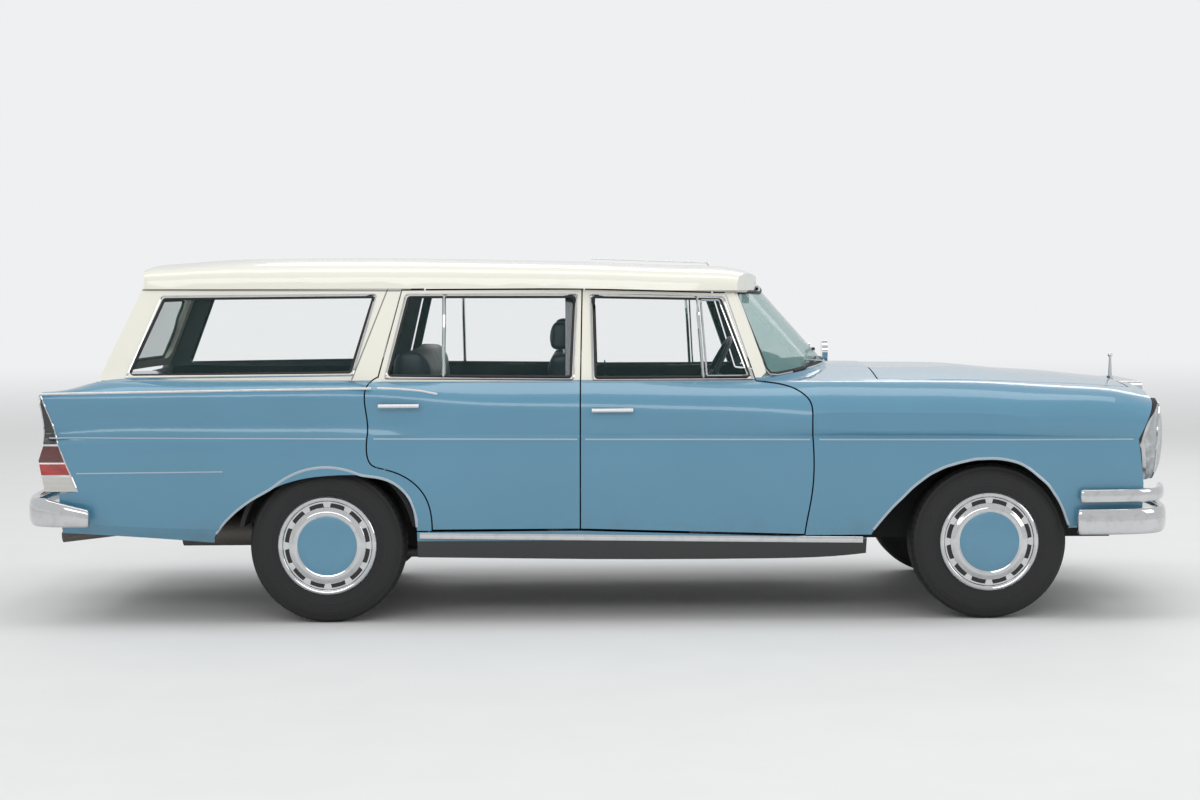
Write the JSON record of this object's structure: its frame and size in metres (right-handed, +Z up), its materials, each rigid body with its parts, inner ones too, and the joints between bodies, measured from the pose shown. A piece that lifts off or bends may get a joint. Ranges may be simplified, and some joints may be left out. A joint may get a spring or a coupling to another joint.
{
  "type": "station wagon",
  "caption": "Station wagon with small tail fins, tall oval headlamps, chrome bumpers, opening doors, bonnet and a split tailgate.",
  "frame": {"origin": "on the ground under the middle of the car's length and width", "axes": "+X to the front, +Y to the car's left, +Z up"},
  "size_m": [4.875, 1.795, 1.5229],
  "materials": {
    "body_blue": "gloss light blue",
    "roof_cream": "gloss cream",
    "chrome": "polished",
    "glass": "clear",
    "lamp_glass": "ribbed clear",
    "lamp_red": "red lens",
    "tyre": "matte",
    "wheel_chrome": "polished with a painted disc",
    "underside": "black paint",
    "seat": "dark blue-black",
    "trim_black": "matte black",
    "steel": "dull"
  },
  "bodies": {
    "body": {"floor_pan": "underside", "side_frame": "body_blue", "front_fenders": "body_blue", "rear_quarters": "body_blue", "cowl": "body_blue", "roof": "roof_cream", "fixed_glass": "glass", "grille": "chrome", "front_bumper": "chrome", "rear_bumper": "chrome", "headlamp_bodies": "chrome", "headlamp_glass": "lamp_glass", "tail_lamps": "lamp_red", "engine": "underside", "exhaust": "steel", "fuel_tank": "trim_black", "front_seats": "seat", "rear_seat": "seat", "dashboard": "trim_black", "front_axle_beam": "underside", "rear_axle": "underside", "chrome_fittings": "chrome"},
    "bonnet": {"bonnet": "body_blue"},
    "front_door_right": {"front_door_right": "body_blue", "front_door_glass_right": "glass"},
    "rear_door_right": {"rear_door_right": "body_blue", "rear_door_glass_right": "glass"},
    "front_door_left": {"front_door_left": "body_blue", "front_door_glass_left": "glass"},
    "rear_door_left": {"rear_door_left": "body_blue", "rear_door_glass_left": "glass"},
    "upper_tailgate": {"tailgate_upper": "roof_cream", "tailgate_glass": "glass"},
    "lower_tailgate": {"tailgate_lower": "body_blue"},
    "steering": {"steering_wheel": "trim_black"},
    "knuckle_right": {"knuckle_right": "steel"},
    "knuckle_left": {"knuckle_left": "steel"},
    "front_wheel_left": {"wheel_front_left": "wheel_chrome", "tyre_front_left": "tyre"},
    "front_wheel_right": {"wheel_front_right": "wheel_chrome", "tyre_front_right": "tyre"},
    "rear_wheel_left": {"wheel_rear_left": "wheel_chrome", "tyre_rear_left": "tyre"},
    "rear_wheel_right": {"wheel_rear_right": "wheel_chrome", "tyre_rear_right": "tyre"}
  },
  "joints": [
    {"name": "front_door_right_hinge", "type": "hinge", "parent": "body", "child": "front_door_right", "pos_m": [0.822, -0.862, 0.65], "axis": [0, 0, 1], "range_deg": [0, 65]},
    {"name": "front_door_left_hinge", "type": "hinge", "parent": "body", "child": "front_door_left", "pos_m": [0.822, 0.862, 0.65], "axis": [0, 0, -1], "range_deg": [0, 65]},
    {"name": "rear_door_right_hinge", "type": "hinge", "parent": "body", "child": "rear_door_right", "pos_m": [-0.141, -0.862, 0.65], "axis": [0, 0, 1], "range_deg": [0, 65]},
    {"name": "rear_door_left_hinge", "type": "hinge", "parent": "body", "child": "rear_door_left", "pos_m": [-0.141, 0.862, 0.65], "axis": [0, 0, -1], "range_deg": [0, 65]},
    {"name": "bonnet_hinge", "type": "hinge", "parent": "body", "child": "bonnet", "pos_m": [1.162, 0, 1.035], "axis": [0, -1, 0], "range_deg": [0, 55]},
    {"name": "upper_tailgate_hinge", "type": "hinge", "parent": "body", "child": "upper_tailgate", "pos_m": [-1.975, 0, 1.385], "axis": [0, 1, 0], "range_deg": [0, 85]},
    {"name": "lower_tailgate_hinge", "type": "hinge", "parent": "body", "child": "lower_tailgate", "pos_m": [-2.262, 0, 0.545], "axis": [0, -1, 0], "range_deg": [0, 90]},
    {"name": "steering_wheel_turn", "type": "hinge", "parent": "body", "child": "steering", "pos_m": [0.52, 0.37044, 0.965], "axis": [0.8829, 0, -0.4695], "range_deg": [-770, 770]},
    {"name": "steering_pivot_right", "type": "hinge", "parent": "body", "child": "knuckle_right", "pos_m": [1.62, -0.66, 0.325], "axis": [0, 0, 1], "range_deg": [-35.5, 35.5]},
    {"name": "steering_pivot_left", "type": "hinge", "parent": "body", "child": "knuckle_left", "pos_m": [1.62, 0.66, 0.325], "axis": [0, 0, 1], "range_deg": [-35.5, 35.5]},
    {"name": "front_wheel_left_spin", "type": "hinge", "parent": "knuckle_left", "child": "front_wheel_left", "pos_m": [1.62, 0.741, 0.325], "axis": [0, 1, 0], "continuous": true},
    {"name": "front_wheel_right_spin", "type": "hinge", "parent": "knuckle_right", "child": "front_wheel_right", "pos_m": [1.62, -0.741, 0.325], "axis": [0, 1, 0], "continuous": true},
    {"name": "rear_wheel_left_spin", "type": "hinge", "parent": "body", "child": "rear_wheel_left", "pos_m": [-1.13, 0.7425, 0.325], "axis": [0, 1, 0], "continuous": true},
    {"name": "rear_wheel_right_spin", "type": "hinge", "parent": "body", "child": "rear_wheel_right", "pos_m": [-1.13, -0.7425, 0.325], "axis": [0, 1, 0], "continuous": true}
  ],
  "couplings": [
    {"joint": "steering_pivot_right", "follows": "steering_wheel_turn", "ratio": 0.04545},
    {"joint": "steering_pivot_left", "follows": "steering_wheel_turn", "ratio": 0.04545}
  ]
}
